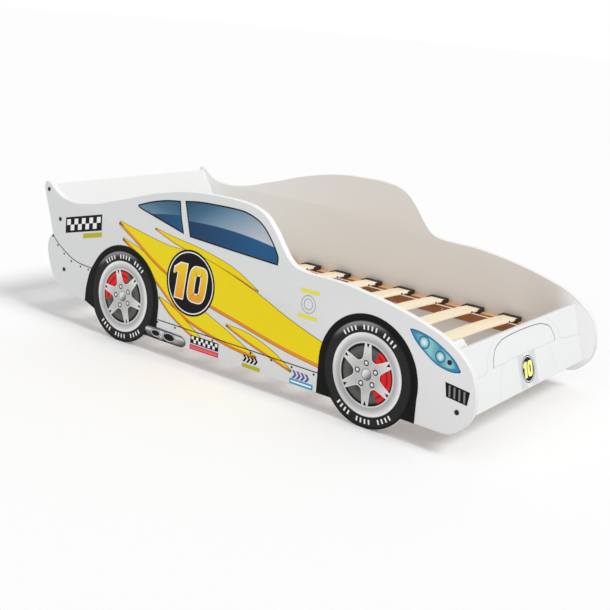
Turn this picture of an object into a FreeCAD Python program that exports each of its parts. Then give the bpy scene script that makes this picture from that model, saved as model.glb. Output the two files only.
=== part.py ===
import FreeCAD, Part
import Sketcher
import math
import os

os.makedirs("parts", exist_ok=True)
doc = FreeCAD.newDocument("CarBed")
V = FreeCAD.Vector

# ---------------------------------------------------------------- driving sizes
SIZES = {
    "length": 1927, "width": 850, "height": 600,
    "board": 22,
    "tyre_radius": 166, "axle_height": 164, "front_axle": 588.5, "rear_axle": -494.5,
    "end_board_height": 195, "front_lean": 15.3, "spoiler_lean": 36, "spoiler_height": 177,
    "rail_width": 38, "rail_height": 45, "rail_bottom": 150, "rail_length": 1675, "rail_start": -807.5,
    "rail_ease": 3,
    "slat_count": 11, "slat_pitch": 153, "slat_width": 63, "slat_thickness": 8, "slat_span": 770,
    "slat_rise": 15, "slat_play": 0.2, "first_slat": -732.5,
    "holder_length": 76, "holder_depth": 42, "holder_height": 15, "holder_base": 3, "holder_wall": 5,
    "holder_back": 6, "holder_mouth": 9.2, "holder_lip": 12, "holder_gap": 6, "holder_corner": 3,
    "holder_floor": 4,
    "round_sides": 10, "peg_sides": 8, "peg_dia": 7.6, "peg_hole": 8.2, "peg_length": 10,
    "peg_room": 2,
    "tape_width": 12, "tape_thickness": 1, "tape_offset": 312, "tape_gap": 0.1, "tape_inset": 5,
    "stud_dia": 7.6, "stud_height": 2,
    "bolt_dia": 6, "bolt_hole": 7, "bolt_length": 55, "head_dia": 12, "head_height": 4.4,
    "sink_dia": 12.6, "sink_depth": 5, "cap_dia": 15.5, "cap_sides": 20, "cap_height": 1.5,
    "nut_dia": 10, "nut_hole": 10.4, "nut_bore": 6.6, "nut_length": 12, "nut_reach": 50,
    "nut_depth": 17.6,
    "screw_dia": 4.5, "screw_hole": 5.2, "screw_length": 50, "screw_pitch": 375,
    "screw_head": 9, "screw_head_height": 3.6, "screw_sink_dia": 9.6, "screw_sink": 4,
    "screw_below": 0.4, "first_screw": -757.5, "screw_count": 5, "pilot_dia": 5, "pilot_depth": 14,
    "block_thickness": 26, "block_width": 94, "block_rise": 24, "block_drop": 30, "block_round": 14,
}
sheet = doc.addObject("Spreadsheet::Sheet", "sizes")
for row, (alias, value) in enumerate(SIZES.items(), start=1):
    sheet.set("A%d" % row, alias)
    sheet.set("B%d" % row, str(value))
    sheet.setAlias("B%d" % row, alias)
doc.recompute()
S = type("Sizes", (), {alias: float(sheet.get(alias)) for alias in SIZES})

HALF_WIDTH = S.width / 2
INNER = HALF_WIDTH - S.board
PARTS = []


# ---------------------------------------------------------------- building helpers
def bind(feature, prop, expression):
    feature.setExpression(prop, expression)
    return feature


def new_body(name):
    body = doc.addObject("PartDesign::Body", name)
    body.Label = name
    if hasattr(body, "AllowCompound"):
        body.AllowCompound = True
    PARTS.append(body)
    return body


def new_sketch(body, name, plane, offset=0.0):
    """Sketch on an origin plane, moved by offset along that plane's normal."""
    origin = [o for o in body.Origin.OriginFeatures if o.Role == plane][0]
    sketch = body.newObject("Sketcher::SketchObject", name)
    sketch.AttachmentSupport = [(origin, "")]
    sketch.MapMode = "FlatFace"
    sketch.AttachmentOffset = FreeCAD.Placement(V(0, 0, offset), FreeCAD.Rotation())
    return sketch


def polygon(sketch, points):
    """Closed run of straight lines, joined end to end."""
    count = len(points)
    start = sketch.GeometryCount
    for i in range(count):
        a = points[i]
        b = points[(i + 1) % count]
        sketch.addGeometry(Part.LineSegment(V(a[0], a[1], 0), V(b[0], b[1], 0)), False)
    for i in range(count):
        link = Sketcher.Constraint("Coincident", start + i, 2, start + (i + 1) % count, 1)
        sketch.addConstraint(link)


def rounds(sketch, centres, size, bore=False, sides="round_sides"):
    """Equal small rounds with few flats: bores lie outside the named size, pins inside it."""
    count = int(getattr(S, sides))
    radius = getattr(S, size) / 2
    if bore:
        radius /= math.cos(math.pi / count)
    for x, y in centres:
        ring = []
        for k in range(count):
            turn = 2 * math.pi * (k + 0.5) / count
            ring.append((x + radius * math.cos(turn), y + radius * math.sin(turn)))
        polygon(sketch, ring)


def grow(body, sketch, name, length, reverse=False, middle=False):
    pad = body.newObject("PartDesign::Pad", name)
    pad.Profile = sketch
    pad.Reversed = reverse
    if middle:
        pad.Midplane = True
    bind(pad, "Length", length)
    return pad


def cut(body, sketch, name, length, reverse=False):
    pocket = body.newObject("PartDesign::Pocket", name)
    pocket.Profile = sketch
    pocket.Reversed = reverse
    bind(pocket, "Length", length)
    return pocket


def bores_along_y(body, name, centres, size, depth, y, toward):
    """Round bores from the plane at y, cut toward +Y (toward=1) or -Y (toward=-1)."""
    sketch = new_sketch(body, name + "_sketch", "XZ_Plane", -y)
    rounds(sketch, centres, size, bore=True)
    return cut(body, sketch, name, depth, reverse=toward < 0)


def bars_along_y(body, name, centres, size, length, y, toward, sides="round_sides"):
    """Round bars that start at the plane y and run toward +Y or -Y."""
    sketch = new_sketch(body, name + "_sketch", "XZ_Plane", -y)
    rounds(sketch, centres, size, sides=sides)
    return grow(body, sketch, name, length, reverse=toward > 0)


# ---------------------------------------------------------------- car outline
def unit(v):
    return v / v.Length


def arc_from(start, heading, end):
    """Arc that leaves start along heading and ends at end, or a line if it is straight."""
    left = V(-heading.y, heading.x, 0)
    chord = end - start
    sideways = 2 * left.dot(chord)
    if abs(sideways) < 1e-4 * chord.Length:
        return Part.LineSegment(start, end)
    radius = chord.Length ** 2 / sideways
    centre = start + left * radius
    middle = centre + unit((start + end) / 2 - centre) * abs(radius)
    return Part.Arc(start, middle, end)


def two_arcs(start, t_start, end, t_end):
    """Pair of arcs that meet smoothly between two points with given headings."""
    chord = end - start
    both = chord.dot(t_start + t_end)
    spread = 2 * (1 - t_start.dot(t_end))
    if spread < 1e-6:
        reach = chord.Length ** 2 / (4 * chord.dot(t_end))
    else:
        reach = (math.sqrt(both ** 2 + spread * chord.Length ** 2) - both) / spread
    joint = (start + t_start * reach + end - t_end * reach) / 2
    first = arc_from(start, t_start, joint)
    back = arc_from(end, t_end * -1, joint)
    if isinstance(back, Part.LineSegment):
        second = Part.LineSegment(joint, end)
    else:
        second = Part.Arc(joint, back.value((back.FirstParameter + back.LastParameter) / 2), end)
    return [first, second]


def curve(points, toward=None):
    """Smooth run of arcs through the points; headings follow the circle through neighbours.

    A run that goes on into a straight edge ends heading toward that edge's far end.
    """
    spots = [V(x, z, 0) for x, z in points]
    heads = []
    for before, spot, after in zip(spots, spots[1:], spots[2:]):
        v = spot - before
        w = after - spot
        heads.append(unit(v / v.Length ** 2 + w / w.Length ** 2))
    first = unit(spots[1] - spots[0])
    last = unit(spots[-1] - spots[-2])
    heads.insert(0, first * (2 * first.dot(heads[0])) - heads[0])
    if toward:
        heads.append(unit(V(toward[0], toward[1], 0) - spots[-1]))
    else:
        heads.append(last * (2 * last.dot(heads[-1])) - heads[-1])
    pieces = []
    for k in range(len(spots) - 1):
        pieces += two_arcs(spots[k], heads[k], spots[k + 1], heads[k + 1])
    return pieces


def line(a, b):
    return [Part.LineSegment(V(a[0], a[1], 0), V(b[0], b[1], 0))]


def arc(a, middle, b):
    return [Part.Arc(V(a[0], a[1], 0), V(middle[0], middle[1], 0), V(b[0], b[1], 0))]


def tyre_at(axle, z, side):
    """Point of a tyre's outline at height z, in front of (1) or behind (-1) the axle."""
    rise = z - S.axle_height
    return (axle + side * math.sqrt(S.tyre_radius ** 2 - rise ** 2), z)


def tyre_outline(axle, z_front, z_rear):
    """Tyre from the front of the wheel round under it to the rear, with a flat to stand on."""
    front = tyre_at(axle, z_front, 1)
    rear = tyre_at(axle, z_rear, -1)
    flat_front = tyre_at(axle, 0, 1)
    flat_rear = tyre_at(axle, 0, -1)
    diagonal = S.tyre_radius * math.sqrt(0.5)
    low = S.axle_height - diagonal
    pieces = arc(front, (axle + diagonal, low), flat_front)
    pieces += line(flat_front, flat_rear)
    pieces += arc(flat_rear, (axle - diagonal, low), rear)
    return pieces


def car_outline():
    nose = S.length / 2
    top = S.height
    sill_front = tyre_at(S.front_axle, 59, -1)
    sill_rear = tyre_at(S.rear_axle, 52, 1)
    apron_front = tyre_at(S.front_axle, 66, 1)
    apron_rear = tyre_at(S.rear_axle, 84, -1)
    notch = (-899.5, 316)
    chin = (860.5, 64)
    outline = curve([notch, (-917.5, 366), (-938.5, 421), (-954.5, 461), (-nose, 492),
                     (-959.1, 508.6), (-945, 512.9),
                     (-927.5, 506.5), (-904.5, 490), (-860.5, 467), (-801.5, 457),
                     (-700.5, 465.5), (-541.5, 507), (-340.5, 565), (-200.5, 591.5),
                     (-56.5, top), (41.5, 598), (96.5, 591), (146.5, 571), (189.5, 531),
                     (236.5, 472), (259.5, 447.5), (286.5, 430.5), (323.5, 423),
                     (385.5, 420.5), (463.5, 419), (540.5, 411), (650.5, 393),
                     (760.5, 367), (852.5, 335.5), (907.5, 301), (940.5, 267),
                     (956.5, 226), (nose, 168), (955.5, 133), (926.5, 92), (894.5, 70), chin],
                    toward=apron_front)
    outline += line(chin, apron_front)
    outline += tyre_outline(S.front_axle, 66, 59)
    outline += curve([sill_front, (181.5, 54), (-120, 52.5), sill_rear])
    outline += tyre_outline(S.rear_axle, 52, 84)
    outline += curve([apron_rear, (-685.5, 101), (-755.5, 106), (-825.5, 113), (-862.5, 140),
                      (-889.5, 170), (-914.5, 220), (-925.5, 262), (-918.5, 298), notch])
    return outline


def add_chain(sketch, pieces):
    for piece in pieces:
        sketch.addGeometry(piece, False)


# ---------------------------------------------------------------- boards between the sides
BOARDS = {
    # name: top edge of the reference face, lean, height, bolt distances below the top edge
    "front_board": (874.5, 300.5, -S.front_lean, "end_board_height", (24, 165)),
    "spoiler_board": (-936.7, 502.5, -S.spoiler_lean, "spoiler_height", (16, 143)),
    "rear_board": (-811.5, 308, 0.0, "end_board_height", (113,)),
}


def board_point(name, depth, below):
    """Part coordinates (x, z) of a point in a board's thickness, below its top edge."""
    x, z, lean = BOARDS[name][:3]
    angle = math.radians(lean)
    px = x - depth * math.cos(angle) - below * math.sin(angle)
    pz = z + depth * math.sin(angle) - below * math.cos(angle)
    return (px, pz)


BOLTS = [board_point(name, S.board / 2, below) for name in BOARDS for below in BOARDS[name][4]]
SCREW_LEVEL = S.rail_bottom + S.rail_height / 2
SCREWS = [(S.first_screw + S.screw_pitch * k, SCREW_LEVEL) for k in range(int(S.screw_count))]
SLATS = [S.first_slat + S.slat_pitch * k for k in range(int(S.slat_count))]


def make_side_panel(name, side):
    body = new_body(name)
    # local Y runs from -board to 0; the outer face is at -board (right) or 0 (left)
    base = -INNER if side < 0 else HALF_WIDTH
    outer = -S.board if side < 0 else 0.0
    inner = 0.0 if side < 0 else -S.board
    outline = new_sketch(body, name + "_outline", "XZ_Plane")
    add_chain(outline, car_outline())
    grow(body, outline, name + "_board", "sizes.board")
    bores_along_y(body, name + "_bolt_holes", BOLTS, "bolt_hole", "sizes.board", outer, -side)
    bores_along_y(body, name + "_bolt_sinks", BOLTS, "sink_dia", "sizes.sink_depth", outer, -side)
    bores_along_y(body, name + "_screw_pilots", SCREWS, "pilot_dia", "sizes.pilot_depth", inner, side)
    body.Placement = FreeCAD.Placement(V(0, base, 0), FreeCAD.Rotation())
    text = "-(sizes.width / 2 - sizes.board)" if side < 0 else "sizes.width / 2"
    body.setExpression(".Placement.Base.y", text)
    return body


def make_board(name):
    x, z, lean, height, bolts = BOARDS[name]
    tall = getattr(S, height)
    body = new_body(name)
    section = new_sketch(body, name + "_section", "XZ_Plane")
    polygon(section, [(0, 0), (-S.board, 0), (-S.board, -tall), (0, -tall)])
    grow(body, section, name + "_board", "sizes.width - 2 * sizes.board", middle=True)
    centres = [(-S.board / 2, -below) for below in bolts]
    for side in (-1, 1):
        tag = "right" if side < 0 else "left"
        bores_along_y(body, name + "_bolt_bores_" + tag, centres, "bolt_hole",
                      "sizes.bolt_length", side * INNER, -side)
    # cross bores for the barrel nuts, from the face turned to the bed's inside
    nuts = new_sketch(body, name + "_nut_plane", "YZ_Plane", -S.board if lean == -S.front_lean else 0)
    reach = HALF_WIDTH - S.nut_reach
    rounds(nuts, [(side * reach, c[1]) for c in centres for side in (-1, 1)], "nut_hole", bore=True)
    cut(body, nuts, name + "_nut_bores", "sizes.nut_depth", reverse=name == "front_board")
    turn = FreeCAD.Rotation(V(0, 1, 0), lean)
    body.Placement = FreeCAD.Placement(V(x, 0, z), turn)
    return body


def make_rail(name, side):
    body = new_body(name)
    section = new_sketch(body, name + "_section", "YZ_Plane")
    wide = S.rail_width
    tall = S.rail_height
    wall = side * INNER
    face = side * (INNER - wide)
    low = S.rail_bottom
    high = S.rail_bottom + tall
    ease = S.rail_ease
    polygon(section, [(wall, low), (wall, high), (face + side * ease, high), (face, high - ease),
                      (face, low + ease), (face + side * ease, low)])
    grow(body, section, name + "_batten", "sizes.rail_length")
    centres = [(x - S.rail_start, z) for x, z in SCREWS]
    bores_along_y(body, name + "_screw_holes", centres, "screw_hole", "sizes.rail_width", face, side)
    bores_along_y(body, name + "_screw_sinks", centres, "screw_sink_dia", "sizes.screw_sink",
                  face, side)
    pegs = new_sketch(body, name + "_peg_plane", "XY_Plane", high)
    middle = side * (INNER - wide / 2)
    rounds(pegs, [(x - S.rail_start, middle) for x in SLATS], "peg_hole", True, "peg_sides")
    cut(body, pegs, name + "_peg_holes", "sizes.peg_length + sizes.peg_room")
    body.Placement = FreeCAD.Placement(V(S.rail_start, 0, 0), FreeCAD.Rotation())
    body.setExpression(".Placement.Base.x", "sizes.rail_start")
    return body


RAIL_TOP = S.rail_bottom + S.rail_height
SEAT = RAIL_TOP + S.holder_base
SLAT_END = SEAT + S.slat_play


def slat_under(y):
    """Height of a slat's underside at y."""
    return SLAT_END + S.slat_rise * (1 - (y / (S.slat_span / 2)) ** 2)


def make_slat(name, x):
    body = new_body(name)
    side = new_sketch(body, name + "_side", "YZ_Plane", -S.slat_width / 2)
    half = S.slat_span / 2
    low = SLAT_END
    thick = S.slat_thickness
    right = (-half, low)
    left = (half, low)
    crown = low + S.slat_rise
    add_chain(side, arc(right, (0, crown), left))
    add_chain(side, line(left, (half, low + thick)))
    add_chain(side, arc((half, low + thick), (0, crown + thick), (-half, low + thick)))
    add_chain(side, line((-half, low + thick), right))
    grow(body, side, name + "_strip", "sizes.slat_width")
    body.Placement = FreeCAD.Placement(V(x, 0, 0), FreeCAD.Rotation())
    return body


def make_holder(name, x, side):
    body = new_body(name)
    half = S.holder_length / 2
    depth = S.holder_depth
    outer = side * (INNER - S.holder_gap)
    inner = outer - side * depth
    plan = new_sketch(body, name + "_plan", "XY_Plane", RAIL_TOP)
    corner = S.holder_corner
    shoulder = outer - side * corner
    polygon(plan, [(-half, inner), (half, inner), (half, shoulder), (half - corner, outer),
                   (-half + corner, outer), (-half, shoulder)])
    grow(body, plan, name + "_block", "sizes.holder_height")
    mouth = half - S.holder_wall
    slot = new_sketch(body, name + "_slot", "XZ_Plane", -inner)
    high = SEAT + S.holder_mouth
    polygon(slot, [(-mouth, SEAT), (mouth, SEAT), (mouth, high), (-mouth, high)])
    cut(body, slot, name + "_slat_slot", "sizes.holder_depth - sizes.holder_back", reverse=side < 0)
    top = new_sketch(body, name + "_top", "XY_Plane", RAIL_TOP + S.holder_height)
    lip = outer - side * (S.holder_back + S.holder_lip)
    polygon(top, [(-mouth, inner), (mouth, inner), (mouth, lip), (-mouth, lip)])
    cut(body, top, name + "_open_top", "sizes.holder_height - sizes.holder_floor")
    peg = new_sketch(body, name + "_peg_plane", "XY_Plane", RAIL_TOP)
    rounds(peg, [(0, side * (INNER - S.rail_width / 2))], "peg_dia", sides="peg_sides")
    grow(body, peg, name + "_peg", "sizes.peg_length", reverse=True)
    body.Placement = FreeCAD.Placement(V(x, 0, 0), FreeCAD.Rotation())
    return body


def make_corner_block(name):
    """Block in the corner of the right panel and the front board, leaning with the board."""
    x, z, lean = BOARDS["front_board"][:3]
    body = new_body(name)
    thick = S.block_thickness
    face = new_sketch(body, name + "_face", "YZ_Plane", -S.board - thick)
    near = -INNER
    far = near + S.block_width
    top = S.block_rise
    low = -S.block_drop
    r = S.block_round
    bend = (far - r * (1 - math.sqrt(0.5)), top - r * (1 - math.sqrt(0.5)))
    add_chain(face, line((near, low), (far, low)))
    add_chain(face, line((far, low), (far, top - r)))
    add_chain(face, arc((far, top - r), bend, (far - r, top)))
    add_chain(face, line((far - r, top), (near, top)))
    add_chain(face, line((near, top), (near, low)))
    grow(body, face, name + "_block", "sizes.block_thickness")
    body.Placement = FreeCAD.Placement(V(x, 0, z), FreeCAD.Rotation(V(0, 1, 0), lean))
    return body


def make_tape(name, side):
    """Webbing under the slats near their ends, in line with their curve."""
    body = new_body(name)
    start = SLATS[0] - S.slat_width / 2 + S.tape_inset
    section = new_sketch(body, name + "_section", "YZ_Plane", start)
    near = S.tape_offset - S.tape_width / 2
    far = S.tape_offset + S.tape_width / 2
    inner_top = slat_under(near) - S.tape_gap
    outer_top = slat_under(far) - S.tape_gap
    thin = S.tape_thickness
    polygon(section, [(side * near, inner_top), (side * far, outer_top),
                      (side * far, outer_top - thin), (side * near, inner_top - thin)])
    grow(body, section, name + "_webbing",
         "sizes.slat_pitch * (sizes.slat_count - 1) + sizes.slat_width - 2 * sizes.tape_inset")
    return body


def make_studs(name):
    """Small studs on the slats' front edges, over the webbing tapes."""
    body = new_body(name)
    y = S.tape_offset
    z = slat_under(y) + S.slat_thickness / 2
    for number, x in enumerate(SLATS, start=1):
        pair = new_sketch(body, "stud_pair_%02d" % number, "YZ_Plane", x + S.slat_width / 2)
        rounds(pair, [(-y, z), (y, z)], "stud_dia", sides="peg_sides")
        grow(body, pair, "studs_%02d" % number, "sizes.stud_height")
    return body


def make_bolts(name):
    body = new_body(name)
    for side in (-1, 1):
        tag = "right" if side < 0 else "left"
        seat = side * (HALF_WIDTH - S.sink_depth)
        bars_along_y(body, "heads_" + tag, BOLTS, "head_dia", "sizes.head_height", seat, side)
        bars_along_y(body, "shanks_" + tag, BOLTS, "bolt_dia", "sizes.bolt_length", seat, -side)
    return body


def make_caps(name):
    body = new_body(name)
    for side in (-1, 1):
        tag = "right" if side < 0 else "left"
        face = side * HALF_WIDTH
        bars_along_y(body, "caps_" + tag, BOLTS, "cap_dia", "sizes.cap_height", face, side,
                     "cap_sides")
    return body


def make_screws(name):
    body = new_body(name)
    for side in (-1, 1):
        tag = "right" if side < 0 else "left"
        seat = side * (INNER - S.rail_width + S.screw_below)
        bars_along_y(body, "screw_heads_" + tag, SCREWS, "screw_head", "sizes.screw_head_height",
                     seat, side)
        bars_along_y(body, "screw_shanks_" + tag, SCREWS, "screw_dia", "sizes.screw_length",
                     seat, side)
    return body


def prism(centre, along, across, radius, length):
    """Short rod with few flats, centred on a point and running along a direction."""
    count = int(S.round_sides)
    third = along.cross(across)
    ring = []
    for k in range(count):
        turn = 2 * math.pi * (k + 0.5) / count
        ring.append(centre - along * length / 2 + across * radius * math.cos(turn)
                    + third * radius * math.sin(turn))
    face = Part.Face(Part.makePolygon(ring + ring[:1]))
    return face.extrude(along * length)


def make_nuts(name):
    """Barrel nuts: short rods across the boards, each with the bolt's hole through it."""
    shapes = []
    for board, (top_x, top_z, lean, height, bolts) in BOARDS.items():
        turn = FreeCAD.Rotation(V(0, 1, 0), lean)
        along = turn.multVec(V(1, 0, 0))
        for below in bolts:
            x, z = board_point(board, S.board / 2, below)
            for side in (-1, 1):
                centre = V(x, side * (HALF_WIDTH - S.nut_reach), z)
                rod = prism(centre, along, V(0, 1, 0), S.nut_dia / 2, S.nut_length)
                bore = prism(centre, V(0, 1, 0), along, S.nut_bore / 2, 2 * S.nut_dia)
                shapes.append(rod.cut(bore))
    nuts = doc.addObject("Part::Feature", name)
    nuts.Label = name
    nuts.Shape = Part.makeCompound(shapes)
    nuts.Placement = FreeCAD.Placement(V(0, 0, 0), FreeCAD.Rotation())
    PARTS.append(nuts)
    return nuts


make_side_panel("side_panel_right", -1)
make_side_panel("side_panel_left", 1)
for board in BOARDS:
    make_board(board)
make_rail("slat_rail_right", -1)
make_rail("slat_rail_left", 1)
for index, x in enumerate(SLATS, start=1):
    make_slat("slat_%02d" % index, x)
    make_holder("slat_holder_right_%02d" % index, x, -1)
    make_holder("slat_holder_left_%02d" % index, x, 1)
make_corner_block("corner_block")
make_tape("slat_tape_right", -1)
make_tape("slat_tape_left", 1)
make_studs("tape_studs")
make_bolts("connecting_bolts")
make_nuts("barrel_nuts")
make_caps("bolt_caps")
make_screws("rail_screws")
doc.recompute()

# ---------------------------------------------------------------- checks and export
for item in doc.Objects:
    if "Invalid" in item.State or "Error" in item.State:
        raise RuntimeError("feature failed: " + item.Name)
for item in PARTS:
    shape = item.Shape
    if shape.isNull() or not shape.isValid():
        raise RuntimeError("bad shape: " + item.Label)
    box = shape.BoundBox
    print("%-24s solids %2d  volume %10.0f  x %7.1f %7.1f  y %7.1f %7.1f  z %6.1f %6.1f" % (
        item.Label, len(shape.Solids), shape.Volume, box.XMin, box.XMax, box.YMin, box.YMax,
        box.ZMin, box.ZMax))
    shape.exportStep("parts/" + item.Label + ".step")
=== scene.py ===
import math
import bpy
import bmesh
from mathutils import Vector, Matrix


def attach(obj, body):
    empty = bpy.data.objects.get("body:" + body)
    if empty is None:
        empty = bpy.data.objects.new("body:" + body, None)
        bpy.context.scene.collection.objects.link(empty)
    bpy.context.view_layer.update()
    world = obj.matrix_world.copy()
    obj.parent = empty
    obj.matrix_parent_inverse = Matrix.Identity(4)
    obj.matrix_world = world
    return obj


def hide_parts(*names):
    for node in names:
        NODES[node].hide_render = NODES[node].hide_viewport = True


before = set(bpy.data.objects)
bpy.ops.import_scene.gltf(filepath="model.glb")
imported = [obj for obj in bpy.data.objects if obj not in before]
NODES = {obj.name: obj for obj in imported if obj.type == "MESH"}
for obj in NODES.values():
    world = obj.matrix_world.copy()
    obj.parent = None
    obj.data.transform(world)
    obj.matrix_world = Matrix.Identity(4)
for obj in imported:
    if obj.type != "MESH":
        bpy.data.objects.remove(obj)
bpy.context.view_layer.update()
scene = bpy.context.scene

# -------- sizes in millimetres
HALF_WIDTH = 425.0
BOARD = 22.0
FRONT_AXLE = 588.5
REAR_AXLE = -494.5
AXLE_Z = 164.0
TYRE_R = 166.0
ARCH_R = 184.0
LIP_R = 127.5
WELL_R = 95.0
FRONT_TOP = (874.5, 300.5)
FRONT_LEAN = -15.3
SPOILER_TOP = (-936.7, 502.5)
SPOILER_LEAN = -36.0
REAR_TOP = (-811.5, 308.0)
END_BOARD = 195.0
SPOILER_BOARD = 177.0
FIRST_SLAT = -732.5
SLAT_PITCH = 153.0
SLATS = 11
SLAT_WIDTH = 63.0
SLAT_THICK = 8.0
SLAT_SPAN = 770.0
SLAT_SEAT = 198.2
SLAT_RISE = 15.0
SLAT_CUTS = 39
BOARD_EASE = 1.8
HOLDER_EASE = 0.8
RAIL_EASE = 0.5
BLOCK_EASE = 2.0
CAP_EASE = 0.6

# prints are thin foils, each level a step further off the board
PRINT_GAP = 0.12
PRINT_STEP = 0.085
BASE_LEVEL = 0
LAMP_LEVEL = 2
MARK_LEVEL = 3
DISC_LEVEL = 6
EXHAUST_LEVEL = 13
# least half width of a ribbon, and its steps from point to point
THIN_END = 0.05
RIBBON_STEPS = 10

# degrees between two faces from which the edge between them counts as sharp
SHARP = 40
SLAT_SHARP = 50
# least part of a face's normal along a direction, for a face that looks that way or lies flat to it
FACING = 0.9
FLAT = 0.98


# -------- finishes
def linear(rgb):
    """Linear colour from the 0 to 255 values that it shows on a screen."""
    return tuple(((c / 255 + 0.055) / 1.055) ** 2.4 if c > 10 else c / 255 / 12.92 for c in rgb) + (1.0,)


class Nodes:
    """Short helpers for building colours and masks in a node tree."""

    def __init__(self, tree):
        self.tree = tree

    def node(self, kind, inputs=None, **settings):
        """New node with its settings, its inputs set to numbers or colours or linked to outputs."""
        made = self.tree.nodes.new(kind)
        for key, value in settings.items():
            setattr(made, key, value)
        for key, value in (inputs or {}).items():
            self.feed(made.inputs[key], value)
        return made

    def link(self, a, b):
        self.tree.links.new(a, b)

    def feed(self, socket, value):
        """A colour has three plain values from 0 to 255, or four linear ones."""
        if isinstance(value, tuple):
            socket.default_value = value if len(value) == 4 else linear(value)
        elif isinstance(value, (int, float)):
            socket.default_value = value
        else:
            self.link(value, socket)

    def split(self, vector):
        return self.node("ShaderNodeSeparateXYZ", {0: vector}).outputs

    def math(self, operation, a, b=0.0):
        return self.node("ShaderNodeMath", {0: a, 1: b}, operation=operation).outputs[0]

    def remap(self, value, low, high, out_low=0.0, out_high=1.0, soft=True):
        inputs = {"Value": value, "From Min": low, "From Max": high, "To Min": out_low, "To Max": out_high}
        curve = "SMOOTHSTEP" if soft else "LINEAR"
        return self.node("ShaderNodeMapRange", inputs, interpolation_type=curve).outputs["Result"]

    def mix(self, factor, a, b, mode="MIX"):
        inputs = {"Factor": factor, "A": a, "B": b}
        return self.node("ShaderNodeMix", inputs, data_type="RGBA", blend_type=mode).outputs["Result"]

    def ramp(self, factor, stops):
        """Colours by their place along a factor, where a lone number is a grey."""
        made = self.node("ShaderNodeValToRGB", {0: factor})
        ramp = made.color_ramp
        while len(ramp.elements) < len(stops):
            ramp.elements.new(0.5)
        for element, (place, rgb) in zip(ramp.elements, stops):
            element.position = place
            element.color = linear(rgb if isinstance(rgb, tuple) else (rgb,) * 3)
        return made.outputs[0]

    def noise(self, vector, scale, detail=2.0, rough=0.5):
        inputs = {"Vector": vector, "Scale": scale, "Detail": detail, "Roughness": rough}
        return self.node("ShaderNodeTexNoise", inputs).outputs["Fac"]


def shader_group(name, inputs, outputs):
    """Empty shader node group: its helpers, and the sockets that it starts from and ends in."""
    group = bpy.data.node_groups.new(name, "ShaderNodeTree")
    for label, kind in inputs:
        group.interface.new_socket(label, in_out="INPUT", socket_type="NodeSocket" + kind)
    for label, kind in outputs:
        group.interface.new_socket(label, in_out="OUTPUT", socket_type="NodeSocket" + kind)
    return Nodes(group), group.nodes.new("NodeGroupInput").outputs, group.nodes.new("NodeGroupOutput").inputs


def surface_grain():
    """Faint cloudiness of a painted or printed colour, and the height of its fine pores."""
    cloud_shade = (0.72, 0.72, 0.73, 1.0)
    grain, start, end = shader_group(
        "surface_grain", [("Colour", "Color"), ("Vector", "Vector"), ("Depth", "Float")],
        [("Colour", "Color"), ("Height", "Float")])
    cloud = grain.math("MULTIPLY", grain.noise(start["Vector"], 9.0, 4.0), start["Depth"])
    grain.link(grain.mix(cloud, start["Colour"], cloud_shade, "MULTIPLY"), end["Colour"])
    grain.link(grain.noise(start["Vector"], 750.0, 1.0), end["Height"])
    return grain.tree


def wood_grain():
    """Broad bands and fine dark pores of planed wood, along the vector's long axis."""
    grain, start, end = shader_group(
        "wood_grain", [("Light", "Color"), ("Dark", "Color"), ("Pores", "Color"), ("Vector", "Vector")],
        [("Colour", "Color"), ("Height", "Float")])
    broad = grain.noise(start["Vector"], 0.32, 3.0)
    fine = grain.noise(start["Vector"], 3.0, 6.0, 0.62)
    bands = grain.mix(grain.remap(broad, 0.35, 0.65, soft=False), start["Light"], start["Dark"])
    pores = grain.mix(grain.remap(fine, 0.55, 0.75, 0.0, 0.45, soft=False), bands, start["Pores"])
    grain.link(pores, end["Colour"])
    grain.link(fine, end["Height"])
    return grain.tree


GRAIN = surface_grain()
WOOD = wood_grain()


class Paint(Nodes):
    """A material of this bed."""

    def __init__(self, name, rough, gloss):
        self.mat = bpy.data.materials.new(name)
        self.mat.use_nodes = True
        super().__init__(self.mat.node_tree)
        self.bsdf = self.tree.nodes["Principled BSDF"]
        self.bsdf.inputs["Roughness"].default_value = rough
        self.bsdf.inputs["Specular IOR Level"].default_value = gloss

    def coords(self, kind="Object"):
        return self.node("ShaderNodeTexCoord").outputs[kind]

    def along(self, axis):
        """Place along one axis of the bed, in metres."""
        return self.split(self.coords())[axis]

    def bump(self, height, strength, distance):
        made = self.node("ShaderNodeBump", {"Height": height, "Strength": strength, "Distance": distance})
        self.link(made.outputs[0], self.bsdf.inputs["Normal"])

    def done(self, colour):
        self.feed(self.bsdf.inputs["Base Color"], colour)
        return self.mat

    def grained(self, colour, depth):
        """Finish with the fine cloudiness and pores of a painted or printed board."""
        inputs = {"Colour": colour, "Vector": self.coords(), "Depth": depth}
        grain = self.node("ShaderNodeGroup", inputs, node_tree=GRAIN)
        self.bump(grain.outputs["Height"], 0.05, 0.0003)
        return self.done(grain.outputs["Colour"])


def ink(name, rgb, gloss):
    return Paint(name, 0.4, gloss).grained(rgb, 0.1)


def board_paint_painted_light(name, rear, nose):
    """White lacquer with painted light: a little lighter or darker from the rear to the nose."""
    paint = Paint(name, 0.42, 0.3)
    along = paint.along(0)
    return paint.grained(paint.mix(paint.remap(along, 0.1, 0.95), rear, nose), 0.05)


def edge_band_painted_shade():
    """Edging of the boards, darker low down as painted shade."""
    paint = Paint("board_edge_band", 0.42, 0.3)
    up = paint.along(2)
    return paint.grained(paint.mix(paint.remap(up, 0.16, 0.40), (218, 218, 218), (241, 241, 240)), 0.05)


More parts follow.
